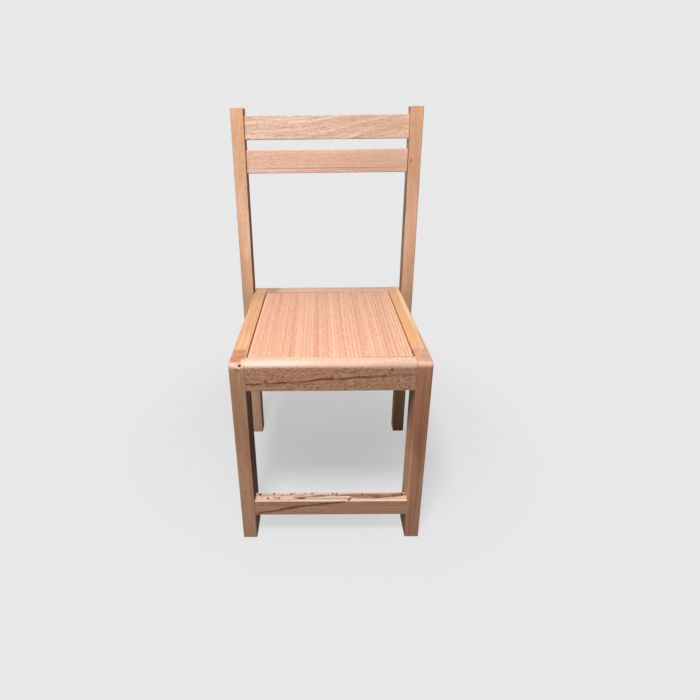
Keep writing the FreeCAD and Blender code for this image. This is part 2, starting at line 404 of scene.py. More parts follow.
@dataclass(frozen=True)
class Beech:
    """Raw beech, smooth from the plane, cut from the tree as one board was.

    The rings are circles round the heart of the tree, which lies off the board's middle by
    heart millimetres across its face and into it, and drifts by lean for each millimetre along.
    """

    pale: Tone
    warm: Tone
    late: Tone
    fleck: Tone
    end_pale: Tone
    end_dark: Tone
    heart: Point = (0.0, 60.0)
    lean: Point = (0.0, 0.0)
    ring: float = 4.0
    waver: float = 5.0
    uneven: float = 3.0
    ring_share: float = 0.25
    streak_share: float = 0.4
    fleck_share: float = 0.5
    fleck_start: float = 0.6
    fleck_edge: float = 0.08
    fleck_cover: float = 0.3
    mottle_share: float = 0.3
    # Least shares of the paler top (partly planed wood, partly painted light) and of the painted
    # highlight
    planed_and_lit_top_cover: float = 0.55
    painted_highlight_cover: float = 0.5
    streak: Cloud = STREAK
    spindle: Cloud = SPINDLE
    mottle: Cloud = MOTTLE
    bow: Point = (0.0, 0.0)
    # Paler tone on faces that look up, partly planed wood and partly painted light, and a painted
    # highlight on rounded edges
    planed_and_lit_top: Optional[Tone] = None
    painted_highlight: Optional[Tone] = None
    # Real stains and streaks, and painted shade and painted light, over the wood
    stains_and_painted_light: tuple[StainAndPaintedLight, ...] = ()
    seed: float = 0.0
    rough: float = 0.62
    sheen: float = 0.2
    scarred: bool = False

    def material(self, name: str, grain: Grain, node: str) -> bpy.types.Material:
        """Makes the finish for one board.

        Args:
            name: The material's name.
            grain: The axis of the board's grain.
            node: The CAD node of the board.

        Returns:
            The material.
        """
        graph = Graph(bpy.data.materials.new(name))
        board = GrainPlace.of(graph, grain, node)
        place = board.bowed(*self.bow)
        rings = self._rings(place)
        fibre = FIBRE.over(place, self.seed)
        flecks = self._flecks(place)
        upward = graph.facing(UP)
        top = upward.step(*TOP_FACE)
        end = graph.math("ABSOLUTE", graph.facing(grain.axis())).step(*CUT_END)
        colour = self._side_grain(place, rings, fibre)
        # Faces that look up get a paler tone: partly planed wood, partly painted light
        if self.planed_and_lit_top:
            colour = graph.tinted(colour, (top * fibre.at_least(self.planed_and_lit_top_cover), self.planed_and_lit_top))
        colour = graph.tinted(colour, (flecks * self.fleck_share, self.fleck))
        colour = graph.mix(end, colour, self._end_grain(place, rings))
        # Painted highlight on the edges rounded between the top and the front
        if self.painted_highlight:
            rounded = top * upward.fall(*ROUND_END)
            colour = graph.tinted(colour, (rounded * fibre.at_least(self.painted_highlight_cover), self.painted_highlight))
        for colour_patch in self.stains_and_painted_light:
            colour = colour_patch.over(board, colour)
        relief = fibre * 0.5 + rings * 0.25 - flecks * 0.7
        if self.scarred:
            torn = graph.attribute(TORN)
            splinter = SPLINTER.over(place, self.seed)
            colour = graph.tinted(colour, (torn * splinter.step(0.25, 0.6), self.end_pale),
                                  (graph.attribute(SCAR), self.fleck))
            relief = relief + torn * splinter * 2.0
        return graph.surface({"Base Color": colour, "Specular IOR Level": self.sheen,
                              "Roughness": self.rough + 0.12 * fibre - 0.06 * rings,
                              "Normal": graph.bump(relief, 0.35, 0.25)})

    def _side_grain(self, place: GrainPlace, rings: Signal, fibre: Signal) -> Signal:
        """Colours a face cut along the grain by bands, rings, streaks, fibres and mottling.

        Args:
            place: The place in the board.
            rings: The late wood of the rings.
            fibre: The noise of the fibres.

        Returns:
            The colour.
        """
        streak, band, mottle = (cloud.over(place, self.seed)
                                for cloud in (self.streak, BAND, self.mottle))
        colour = place.graph.mix(band.step(0.3, 0.7), self.pale.linear(), self.warm.linear())
        return place.graph.tinted(
            colour,
            (rings * self.ring_share, self.late),
            (streak.step(0.45, 0.75) * self.streak_share, self.late),
            (fibre.fall(0.2, 0.5) * self.streak_share * 0.7, self.pale),
            (mottle.step(0.5, 0.7) * self.mottle_share, self.late),
            (mottle.fall(0.3, 0.5) * self.mottle_share, self.pale))

    def _rings(self, place: GrainPlace) -> Signal:
        """Draws the growth rings.

        Args:
            place: The place in the board.

        Returns:
            The late wood: 1 on the dark side of each ring, 0 between.
        """
        graph = place.graph
        sway, drift = (cloud.over(place, self.seed) - 0.5 for cloud in (SWAY, DRIFT))
        across = place.wide - self.heart[0] + place.along * self.lean[0] + sway * (4 * self.waver)
        inward = place.deep - self.heart[1] + place.along * self.lean[1] + drift * self.waver
        radius = graph.math("SQRT", across * across + inward * inward)
        uneven = graph.signal("ShaderNodeTexNoise", 0, {"noise_dimensions": "1D"},
                              {"W": radius / (3.7 * self.ring), "Scale": 1.0, "Detail": 1.0})
        phase = graph.math("FRACT", radius / self.ring + uneven * self.uneven)
        return phase.step(0.1, 0.9) * phase.fall(0.9, 1.0)

    def _flecks(self, place: GrainPlace) -> Signal:
        """The short dark spindles of the rays: 1 on a spindle, 0 between."""
        cover = RAY_PATCH.over(place, self.seed).step(0.35, 0.6).at_least(self.fleck_cover)
        return cover * self.spindle.over(place, self.seed).step(
            self.fleck_start, self.fleck_start + self.fleck_edge)

    def _end_grain(self, place: GrainPlace, rings: Signal) -> Signal:
        """The open, darker colour of a cut across the grain."""
        dark = (PORES.over(place, self.seed).step(0.4, 0.7) * 0.55
                + BLOTCH.over(place, self.seed).step(0.35, 0.7) * 0.35 + rings * 0.25)
        return place.graph.mix(dark, self.end_pale.linear(), self.end_dark.linear())


@dataclass(frozen=True)
class Veneer:
    """Straight-striped beech veneer, laid front to back on the plywood seat."""

    base: Tone = Tone(241, 184, 155)
    cream: Tone = Tone(252, 214, 180)
    rose: Tone = Tone(221, 153, 126)
    fleck: Tone = Tone(196, 124, 98)
    ply: Tone = Tone(196, 146, 108)
    glue: Tone = Tone(110, 70, 46)
    layer: float = 1.5
    line_gap: float = 5.2
    line_sway: float = 14.0
    half_width: float = 118.0
    sheen: float = 0.2
    bands: Cloud = Cloud((2600, 13, 60), 9)
    lines: Cloud = Cloud((1500, 2.3, 60), 4, 2, 0.6)
    sway: Cloud = Cloud((420, 30, 60), 12, 1)
    fibre: Cloud = Cloud((22, 0.7, 20), 2, 3, 0.6)
    spindles: Cloud = Cloud((4.2, 0.8, 9), 6, 1)
    glints: Cloud = Cloud((7, 1.1, 9), 16, 1)
    groups: Cloud = Cloud((2600, 24, 60), 27, 1)

    def material(self, name: str, node: str) -> bpy.types.Material:
        """Makes the finish of the seat panel.

        Args:
            name: The material's name.
            node: The CAD node of the panel.

        Returns:
            The material.
        """
        graph = Graph(bpy.data.materials.new(name))
        place = GrainPlace.of(graph, Grain.Y, node)
        lines, fibre = self.lines.over(place), self.fibre.over(place)
        flecks = self.spindles.over(place).step(0.56, 0.66)
        swayed = place.wide + self.sway.over(place) * self.line_sway
        wave = graph.math("SINE", swayed * (2 * math.pi / self.line_gap))
        side = (place.wide / self.half_width + 0.6).step(0.2, 0.9)
        right = side * self.groups.over(place).step(0.42, 0.6)
        bands = self.bands.over(place).step(0.35, 0.65)
        colour = graph.tinted(
            graph.mix(bands, self.base.linear(), self.rose.linear()),
            (lines.step(0.5, 0.62) * 0.55, self.cream),
            (wave.step(0.1, 0.9) * right * 0.75, self.cream),
            (wave.fall(-0.9, -0.1) * right * 0.45, self.rose),
            (fibre.fall(0.3, 0.55) * 0.45, self.cream),
            (self.glints.over(place).step(0.6, 0.7) * 0.5, self.cream),
            (flecks * 0.45, self.fleck))
        level = graph.math("ABSOLUTE", graph.facing(UP)).step(0.4, 0.6)
        layers = graph.math("FRACT", place.deep / self.layer).step(0.75, 0.95)
        edge = graph.mix(layers, self.ply.linear(), self.glue.linear())
        relief = fibre * 0.5 - flecks * 0.6 + lines * 0.3
        return graph.surface({"Base Color": graph.mix(level, edge, colour),
                              "Roughness": 0.58 + 0.15 * fibre, "Specular IOR Level": self.sheen,
                              "Normal": graph.bump(relief, 0.3, 0.2)})


@dataclass(frozen=True)
class Steel:
    """Plain steel of a small fixing, dulled by handling."""

    bright: Tone
    dull: Tone
    rough: float
    spots: float = 900.0

    def material(self, name: str) -> bpy.types.Material:
        """Makes the finish.

        Args:
            name: The material's name.

        Returns:
            The material.
        """
        graph = Graph(bpy.data.materials.new(name))
        raw = graph.signal("ShaderNodeTexCoord", "Object")
        cloud = graph.noise(graph.vector("MULTIPLY", raw, (self.spots,) * 3), 3.0, 0.6)
        colour = graph.mix(cloud.step(0.35, 0.7), self.bright.linear(), self.dull.linear())
        return graph.surface({"Base Color": colour, "Metallic": 1.0,
                              "Normal": graph.bump(cloud, 0.2, 0.05),
                              "Roughness": self.rough + 0.25 * cloud})


class Face(Enum):
    """The faces of a board that carry scars."""

    FRONT = "front"
    TOP = "top"


# The waves in a ragged line: pace along the board, part of the seed, and height
WAVES = ((0.21, 1.0, 0.5), (0.57, 2.3, 0.3), (1.43, 4.1, 0.2))


def ragged(along: np.ndarray, seed: float) -> np.ndarray:
    """An uneven wave between about -1 and 1 along a board, of its own for each seed."""
    return sum(np.sin(along * pace + seed * part) * height for pace, part, height in WAVES)


@dataclass(frozen=True)
class Scar:
    """A hollow in one face of a board, or a rise where its depth is below 0.

    Places are in millimetres along and across that face. Dark and torn say how much of it is
    darkened and how much is splintered.
    """

    face: Face
    depth: float = 0.0
    dark: float = 0.0
    torn: float = 0.0

    def share(self, along: np.ndarray, across: np.ndarray) -> np.ndarray:
        """How much of the full depth is cut at each place, from 0 to 1."""
        raise NotImplementedError


@dataclass(frozen=True)
class Crack(Scar):
    """A split along the grain: places along and across, and how open it is there, from 0 to 1."""

    points: Line = ()
    width: float = 1.5
    waver: float = 0.6
    seed: float = 0.0

    def share(self, along: np.ndarray, across: np.ndarray) -> np.ndarray:
        """How much of the full depth is cut at each place.

        Args:
            along: Places along the board.
            across: Places across the face.

        Returns:
            The share from 0 to 1.
        """
        places, heights, strengths = zip(*self.points)
        line = np.interp(along, places, heights) + self.waver * ragged(along, self.seed)
        strength = np.interp(along, places, strengths, left=0.0, right=0.0)
        swell = 0.8 + 0.3 * ragged(along * 0.6, self.seed + 5.0)
        half = self.width / 2 * swell * (0.6 + 0.4 * strength)
        inside = np.clip(1 - np.abs(across - line) / half, 0, 1)
        return np.clip(inside * 1.5, 0, 1) * strength


@dataclass(frozen=True)
class Dent(Scar):
    """A small round pit."""

    middle: Point = (0.0, 0.0)
    radius: float = 1.5

    def share(self, along: np.ndarray, across: np.ndarray) -> np.ndarray:
        """How much of the full depth is cut at each place."""
        gap = np.hypot(along - self.middle[0], across - self.middle[1]) / self.radius
        return np.clip(1.4 - 1.4 * gap, 0, 1)


@dataclass(frozen=True)
class Trough(Scar):
    """A strip torn out along the grain, given by its near and far edge at a few places."""

    stations: Line = ()
    slope: float = 0.8
    seed: float = 0.0

    def share(self, along: np.ndarray, across: np.ndarray) -> np.ndarray:
        """How much of the full depth is cut at each place.

        Args:
            along: Places along the board.
            across: Places across the face.

        Returns:
            The share from 0 to 1.
        """
        places, near, far = zip(*self.stations)
        low = np.interp(along, places, near) + 0.5 * ragged(along, self.seed)
        high = np.interp(along, places, far) + 0.5 * ragged(along, self.seed + 2.0)
        inside = np.clip(np.minimum(across - low, high - across) / self.slope, 0, 1)
        floor = 0.8 + 0.2 * ragged(along * 0.7 + across * 1.9, self.seed + 7.0)
        return inside * floor


def ring_faces(rings: int, steps: int) -> list[list[int]]:
    """The faces between closed rings of so many points each, by the numbers of their points."""
    sides = [(ring * steps + step, ring * steps + (step + 1) % steps)
             for ring in range(rings - 1) for step in range(steps)]
    return [[here, after, after + steps, here + steps] for here, after in sides]


def new_piece(name: str, points: Any, faces: list[list[int]], flat: int = 0) -> bpy.types.Object:
    """Makes an object from points and faces.

    Args:
        name: The name of the object and its mesh.
        points: The points in metres.
        faces: The faces, as the numbers of their points.
        flat: How many of the last faces aren't smooth.

    Returns:
        The object.
    """
    mesh = bpy.data.meshes.new(name)
    mesh.from_pydata(np.asarray(points).tolist(), [], faces)
    mesh.polygons.foreach_set("use_smooth", [True] * (len(faces) - flat) + [False] * flat)
    mesh.update()
    piece = bpy.data.objects.new(name, mesh)
    bpy.context.scene.collection.objects.link(piece)
    return piece


def corners_of(node: str) -> tuple[Place, Place]:
    """The lowest and the highest corner of a CAD node in millimetres."""
    low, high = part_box(node)
    return tuple(value / MM for value in low), tuple(value / MM for value in high)


@dataclass
class CarvedBoard:
    """A board between the front legs, with rounded long edges and scars in its front and top."""

    node: str
    finish: Beech
    front_round: float
    arris: float
    step: float
    scars: Sequence[Scar]
    back_step: float = 4.0
    arc_steps: int = 8

    @staticmethod
    def reach() -> float:
        """How far such a board shows on each side of the chair's middle."""
        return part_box("right_front_leg")[0][0] / MM

    def build(self) -> None:
        """Carves the board, which stands for its CAD node, and dresses it."""
        outline = self._outline()
        reach = self.reach()
        rows, columns = round(2 * reach / self.step) + 1, len(outline)
        grid = np.repeat(np.linspace(-reach, reach, rows)[:, None], columns, axis=1)
        place_y, place_z, out_y, out_z = (np.repeat(values[None, :], rows, axis=0)
                                          for values in outline.T)
        sink = np.zeros_like(grid)
        marks = {SCAR: np.zeros_like(grid), TORN: np.zeros_like(grid)}
        for scar in self.scars:
            facing, across = (-out_y, place_z) if scar.face is Face.FRONT else (out_z, place_y)
            share = scar.share(grid, across) * np.clip(facing * 2 - 1, 0, 1)
            sink += share * scar.depth
            for label, strength in ((SCAR, scar.dark), (TORN, scar.torn)):
                marks[label] = np.maximum(marks[label], share * strength)
        points = np.stack([grid, place_y - out_y * sink, place_z - out_z * sink], axis=-1)
        ends = [list(range(columns))[::-1], list(range((rows - 1) * columns, rows * columns))]
        board = new_piece(f"{self.node}_carved", points.reshape(-1, 3) * MM,
                          ring_faces(rows, columns) + ends, len(ends))
        for label, values in marks.items():
            numbers = board.data.attributes.new(label, "FLOAT", "POINT").data
            numbers.foreach_set("value", values.ravel())
        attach(board, BODY)
        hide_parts(self.node)
        board.data.materials.append(self.finish.material(self.node, Grain.X, self.node))
        LOG.info("carved %s", board.name)

    def _outline(self) -> np.ndarray:
        """Goes round the board's section.

        Returns:
            The section's points in order, each with its place and its outward direction.
        """
        (_, front, bottom), (_, back, top) = corners_of(self.node)
        corners = [
            (front, bottom, self.arris, math.pi, self.step),
            (front, top, self.front_round, math.pi / 2, self.step),
            (back, top, self.arris, 0.0, self.back_step),
            (back, bottom, self.arris, -math.pi / 2, self.back_step),
        ]
        rows: list[Row] = []
        for index, (y, z, radius, start, gap) in enumerate(corners):
            middle_y = y + radius if y == front else y - radius
            middle_z = z + radius if z == bottom else z - radius
            for turn in np.linspace(start + math.pi / 2, start, self.arc_steps + 1):
                out_y, out_z = math.cos(turn), math.sin(turn)
                rows.append((middle_y + radius * out_y, middle_z + radius * out_z, out_y, out_z))
            rows += self._run(rows[-1], corners[(index + 1) % len(corners)], gap)
        return np.array(rows)

    @staticmethod
    def _run(start: Row, following: Sequence[float], gap: float) -> list[Row]:
        """Crosses the flat from the end of one rounded edge to the start of the next.

        Args:
            start: The last point of the rounded edge.
            following: The next corner.
            gap: About how far apart the points are.

        Returns:
            The points between, without either end.
        """
        y, z, out_y, out_z = start
        upright = abs(out_y) > abs(out_z)
        origin, goal = (z, following[1]) if upright else (y, following[0])
        goal -= math.copysign(following[2], goal - origin)
        count = max(2, round(abs(goal - origin) / gap))
        steps = np.linspace(origin, goal, count + 1)[1:-1]
        return [(y, at, out_y, out_z) if upright else (at, z, out_y, out_z) for at in steps]


def dress(node: str, material: bpy.types.Material, edge: float = SOFT_EDGE) -> None:
    """Gives a CAD node its finish and softens its sharp edges.

    Args:
        node: The node's name.
        material: The finish.
        edge: The width of the softened edges in millimetres.
    """
    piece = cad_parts[node]
    for slot in piece.material_slots:
        slot.material = material
    if edge > SHARP_EDGE:
        weld = piece.modifiers.new("weld", "WELD")
        weld.merge_threshold = WELD_GAP * MM
        bevel = piece.modifiers.new("soft_edges", "BEVEL")
        bevel.width = edge * MM
        bevel.segments = EDGE_STEPS
        bevel.limit_method = "ANGLE"
        bevel.angle_limit = math.radians(EDGE_ANGLE)
    LOG.info("dressed %s", node)


def dress_boards(boards: Mapping[str, Beech], grain: Grain) -> None:
    """Gives each board its own cut of wood."""
    for node, finish in boards.items():
        dress(node, finish.material(node, grain, node))


PALE_SLAT = Beech(
    pale=Tone(238, 205, 183), warm=Tone(224, 184, 161), late=Tone(196, 150, 123),
    fleck=Tone(146, 92, 66), end_pale=Tone(214, 160, 130), end_dark=Tone(160, 104, 78))
ROSE_SLAT = Beech(
    pale=Tone(238, 201, 179), warm=Tone(228, 185, 162), late=Tone(202, 154, 131),
    fleck=Tone(160, 108, 84), end_pale=Tone(214, 160, 130), end_dark=Tone(160, 104, 78))
TAN_POST = Beech(
    pale=Tone(246, 204, 170), warm=Tone(233, 184, 149), late=Tone(203, 148, 113),
    fleck=Tone(142, 90, 62), end_pale=Tone(214, 164, 128), end_dark=Tone(166, 112, 80),
    sheen=0.05)
HONEY_RAIL = Beech(
    pale=Tone(243, 196, 151), warm=Tone(236, 177, 130), late=Tone(208, 138, 92),
    fleck=Tone(166, 106, 70), end_pale=Tone(214, 164, 128), end_dark=Tone(166, 112, 80),
    ring_share=0.4, streak_share=0.65, mottle_share=0.45)
BROWN_LEG = Beech(
    pale=Tone(218, 170, 139), warm=Tone(206, 153, 121), late=Tone(179, 124, 93),
    fleck=Tone(132, 84, 62), end_pale=Tone(236, 172, 134), end_dark=Tone(174, 102, 73),
    ring_share=0.4, streak_share=0.65, mottle_share=0.45)
CREAM_RAIL = Beech(
    pale=Tone(214, 167, 136), warm=Tone(202, 151, 119), late=Tone(140, 90, 66),
    fleck=Tone(120, 64, 44), end_pale=Tone(226, 166, 134), end_dark=Tone(170, 104, 80))

LEFT_POST = replace(
    TAN_POST, heart=(-9, 70), lean=(0.012, 0), seed=1.7, ring=3.4,
    stains_and_painted_light=(
        # Painted shade on the inner face, a darker top, and painted shade where the post passes
        # the seat
        StainAndPaintedLight((60, 11.5, 0), (400, 1.5, 60), Tone(96, 50, 26), 0.85),
        StainAndPaintedLight((265, 0, 0), (110, 60, 60), Tone(190, 136, 104), 0.3),
        StainAndPaintedLight((-40, 0, 0), (140, 90, 90), Tone(160, 110, 80), 0.3)))
RIGHT_POST = replace(
    TAN_POST, heart=(14, 55), lean=(-0.01, 0), seed=5.2, ring=3,
    stains_and_painted_light=(
        # Painted shade on the inner face, deeper on its upper part; a dark mark by the pin; a
        # darker top, and painted shade where the post passes the seat
        StainAndPaintedLight((60, -11.5, 0), (400, 1.5, 60), Tone(110, 60, 34), 0.7),
        StainAndPaintedLight((190, -11.5, 0), (110, 1.5, 60), Tone(70, 34, 16), 0.6),
        StainAndPaintedLight((237.5, -6, -10), (4.5, 2.4, 6), Tone(104, 60, 36), 0.7),
        StainAndPaintedLight((265, 0, 0), (110, 60, 60), Tone(190, 136, 104), 0.4),
        StainAndPaintedLight((-40, 0, 0), (140, 90, 90), Tone(160, 110, 80), 0.22)))
TOP_SLAT = replace(
    PALE_SLAT, pale=Tone(246, 215, 194), heart=(-70, 30), lean=(-0.04, 0), seed=2.6,
    ring=9, waver=7, uneven=4, fleck_share=0.6, fleck_start=0.56, ring_share=0.45,
    mottle_share=0.6, mottle=resized(MOTTLE, 12, 1.5), streak_share=0.8,
    streak=resized(STREAK, 150, 3.2), bow=(0.11, 0.0004),
    stains_and_painted_light=(StainAndPaintedLight((80, 3, 0), (90, 16, 30), Tone(196, 150, 122), 0.22),))
LOWER_SLAT = replace(
    ROSE_SLAT, heart=(-120, 10), lean=(0.02, 0), seed=8.3, ring=3.6, waver=2, uneven=5,
    fleck_share=0.55, mottle_share=0.6, mottle=resized(MOTTLE, 9, 1.2), streak_share=0.65,
    stains_and_painted_light=(
        StainAndPaintedLight((20, -11, 0), (190, 1, 30), Tone(170, 112, 88), 0.8),
        StainAndPaintedLight((60, -14.4, 0), (150, 0.8, 30), Tone(180, 122, 96), 0.6),
        StainAndPaintedLight((80, 0, 0), (100, 30, 30), Tone(205, 155, 128), 0.25)))
LEFT_LEG = replace(
    BROWN_LEG, heart=(30, 80), lean=(0.015, 0), seed=3.9, ring=3.2, sheen=0.05,
    # The paler tone on the rounded front edge is a painted highlight
    pale=Tone(221, 174, 143), warm=Tone(209, 157, 125), painted_highlight=Tone(254, 232, 218),
    stains_and_painted_light=(
        StainAndPaintedLight((149.5, 1.5, -21), (5, 3.5, 8), Tone(130, 76, 52), 0.4),
        StainAndPaintedLight((160, 9, -13), (9, 4, 9), Tone(250, 216, 172), 0.9),
        # Painted shade on the upper leg, painted light on the lower leg, and painted shade on the
        # inner face
        StainAndPaintedLight((80, 0, 0), (105, 60, 60), Tone(150, 105, 80), 0.28),
        StainAndPaintedLight((-100, 0, 0), (130, 60, 60), Tone(236, 186, 156), 0.15),
        StainAndPaintedLight((-20, 11.5, 0), (170, 1.5, 60), Tone(92, 50, 28), 0.85)))
RIGHT_LEG = replace(
    BROWN_LEG, heart=(-22, 70), lean=(-0.02, 0), seed=6.4, ring=3.6, sheen=0.05,
    pale=Tone(208, 153, 122), warm=Tone(197, 135, 106), late=Tone(171, 111, 82),
    # The paler tone on the rounded front edge is a painted highlight
    painted_highlight=Tone(246, 210, 188), end_pale=Tone(235, 187, 157), end_dark=Tone(197, 145, 117),
    stains_and_painted_light=(
        # Painted shade on the upper leg and painted light on the lower leg
        StainAndPaintedLight((80, 0, 0), (105, 60, 60), Tone(140, 92, 70), 0.22),
        StainAndPaintedLight((-100, 0, 0), (130, 60, 60), Tone(236, 180, 150), 0.3),
        StainAndPaintedLight((75, 0.5, -21), (95, 2.4, 30), Tone(112, 66, 48), 0.24),
        StainAndPaintedLight((-35, 3, -21), (110, 2.8, 30), Tone(116, 70, 52), 0.22),
        StainAndPaintedLight((-110, -4.5, -21), (60, 2.2, 30), Tone(116, 70, 52), 0.22),
        # On the inner face: painted light low down, the painted shadow of the rail and seat on its
        # upper back part, painted shade at its foot, and a lighter band at its very top
        StainAndPaintedLight((-40, -11.5, 0), (95, 4, 60), Tone(244, 190, 152), 0.6),
        StainAndPaintedLight((150, -11.5, 25), (125, 1.5, 42), Tone(88, 48, 30), 0.85),
        StainAndPaintedLight((-150, -11.5, 0), (50, 1.5, 60), Tone(88, 48, 30), 0.6),
        StainAndPaintedLight((160, -11.5, 10), (9, 2.5, 40), Tone(205, 155, 125), 0.9)))
LEFT_RAIL = replace(
    HONEY_RAIL, heart=(-30, 45), lean=(0.03, 0), seed=4.4, ring=5,
    stains_and_painted_light=(
        StainAndPaintedLight((105, 0, 22), (60, 16, 30), Tone(214, 160, 112), 0.6),
        StainAndPaintedLight((-100, 2, 22), (26, 9, 30), Tone(250, 208, 152), 0.25)))
RIGHT_RAIL = replace(
    HONEY_RAIL, heart=(26, 60), lean=(-0.02, 0), seed=9.1, ring=4.4,
    stains_and_painted_light=(
        StainAndPaintedLight((-20, -8, 20), (170, 10, 60), Tone(244, 181, 129), 0.7),
        StainAndPaintedLight((40, 7, 20), (120, 6, 60), Tone(253, 222, 174), 0.7)))
BACK_RAIL = replace(
    PALE_SLAT, pale=Tone(237, 204, 183), warm=Tone(224, 184, 162), heart=(20, 70), seed=7.1,
    # The darker patch at the left end of the top is the painted shadow of the left post
    ring=3.6, stains_and_painted_light=(StainAndPaintedLight((-112, 22, 0), (22, 30, 60), Tone(140, 98, 76), 0.5),))
FRONT_RAIL = replace(
    CREAM_RAIL, heart=(-46, 26), lean=(-0.05, 0), seed=5.8, ring=5, waver=4,
    fleck_share=0.4, spindle=resized(SPINDLE, 4, 0.75), fleck_start=0.56, fleck_cover=0.8,
    mottle_share=0.9, mottle=resized(MOTTLE, 4.5, 1.9), rough=0.5, scarred=True,
    # Faces that look up get a paler tone, partly planed wood and partly painted light; the rounded
    # front edge gets a painted highlight
    planed_and_lit_top=Tone(248, 210, 182), painted_highlight=Tone(226, 184, 166),
    stains_and_painted_light=(
        # Painted highlight on the left of the rounded front edge, and painted shade that dims it
        # to the right
        StainAndPaintedLight((-85, 19.5, -4), (75, 4.5, 6.5), Tone(255, 228, 216), 0.45),
        StainAndPaintedLight((95, 16, -7), (50, 7, 9), Tone(200, 154, 130), 0.35)))
STRETCHER_WOOD = replace(
    BROWN_LEG, heart=(34, 22), lean=(0.06, 0), seed=12.5, ring=4.2, scarred=True,
    fleck_share=0.45, mottle_share=0.6, pale=Tone(226, 174, 144), warm=Tone(214, 156, 126),
    # The paler top is partly planed wood and partly painted light
    end_pale=Tone(255, 230, 206), fleck=Tone(108, 50, 32), planed_and_lit_top=Tone(255, 225, 202),
    stains_and_painted_light=(
        StainAndPaintedLight((-75, 9, -9), (60, 8, 4), Tone(190, 120, 98), 0.5),
        StainAndPaintedLight((85, 15, -4), (70, 5, 14), Tone(255, 196, 158), 0.5)))
TORN_WOOD = replace(PALE_SLAT, pale=Tone(252, 228, 210), warm=Tone(246, 214, 192), seed=21)
CLEAT_WOOD = replace(HONEY_RAIL, heart=(20, 40), seed=15, ring=3)
DOWEL_WOOD = replace(PALE_SLAT, heart=(30, 30), seed=19, ring=2.6)


@dataclass
class Backrest:
    """The two raked posts, the slats between them and the pins that hold the slats."""

    posts: Mapping[str, Beech] = field(default_factory=lambda: {
        "left_back_post": LEFT_POST, "right_back_post": RIGHT_POST})
    slats: Mapping[str, Beech] = field(default_factory=lambda: {
        "top_slat": TOP_SLAT, "lower_slat": LOWER_SLAT})
    pins: Steel = Steel(Tone(236, 190, 154), Tone(190, 142, 108), 0.8)

    def build(self) -> None:
        """Dresses the posts, slats and pins."""
        dress_boards(self.posts, Grain.Z)
        dress_boards(self.slats, Grain.X)
        dress("slat_pins", self.pins.material("slat_pins"), FINE_EDGE)


@dataclass
class FrontLegs:
    """The two front legs, the brad in the left one and the fibres torn up round its hole."""

    legs: Mapping[str, Beech] = field(default_factory=lambda: {
        "left_front_leg": LEFT_LEG, "right_front_leg": RIGHT_LEG})
    brad: Steel = Steel(Tone(60, 44, 36), Tone(24, 17, 14), 0.7)
    torn: Beech = TORN_WOOD
    front_round: float = 9.0
    tilt: float = 32.0
    mouth: float = 2.2
    lip: float = 0.15
    spread: float = 2.8
    lift: float = 0.9
    root: float = 0.4
    rim: float = 0.05
    steps: int = 40

    def build(self) -> None:
        """Dresses the legs and the brad, and raises the torn fibres."""
        dress_boards(self.legs, Grain.Z)
        dress("front_rail_brad", self.brad.material("front_rail_brad"), FINE_EDGE)
        self._torn_rim()

    def _torn_rim(self) -> None:
        """Lays a ragged ring of raised fibres on the rounded edge, highest below the hole."""
        turns = np.linspace(0, 2 * math.pi, self.steps, endpoint=False)
        even = np.ones(self.steps)
        reach = self.spread * (0.75 + 0.25 * ragged(turns * 12.0, 2.0))
        height = self.lift * np.clip(0.45 - 0.55 * np.sin(turns), 0.1, 1.0)
        rings = [(self.mouth * even, -self.root * even),
                 ((self.mouth + self.lip) * even, height),
                 (self.mouth + reach * 0.6, height * 0.7),
                 (self.mouth + reach, -self.rim * even)]
        points = np.concatenate([self._on_round(radius, rise, turns) for radius, rise in rings])
        # Turned over, so that the faces look out of the wood
        faces = [face[:1] + face[:0:-1] for face in ring_faces(len(rings), self.steps)]
        rim = new_piece("brad_torn_rim", points * MM, faces)
        rim.data.materials.append(self.torn.material(rim.name, Grain.Z, "left_front_leg"))
        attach(rim, BODY)
        LOG.info("raised %s", rim.name)

    def _on_round(self, radius: np.ndarray, height: np.ndarray, turns: np.ndarray) -> np.ndarray:
        """Places on the rounded edge about the hole.

        Args:
            radius: How far each place is from the middle of the hole.
            height: How far it stands off the wood.
            turns: Its angle about the hole.

        Returns:
            The places in millimetres.
        """
        low, high = corners_of("left_front_leg")
        brad_low, brad_high = corners_of("front_rail_brad")
        angle = math.radians(self.tilt) + radius * np.sin(turns) / self.front_round
        off = self.front_round + height
        across = (brad_low[0] + brad_high[0]) / 2 + radius * np.cos(turns)
        return np.stack([across, low[1] + self.front_round - off * np.cos(angle),
                         high[2] - self.front_round + off * np.sin(angle)], axis=-1)


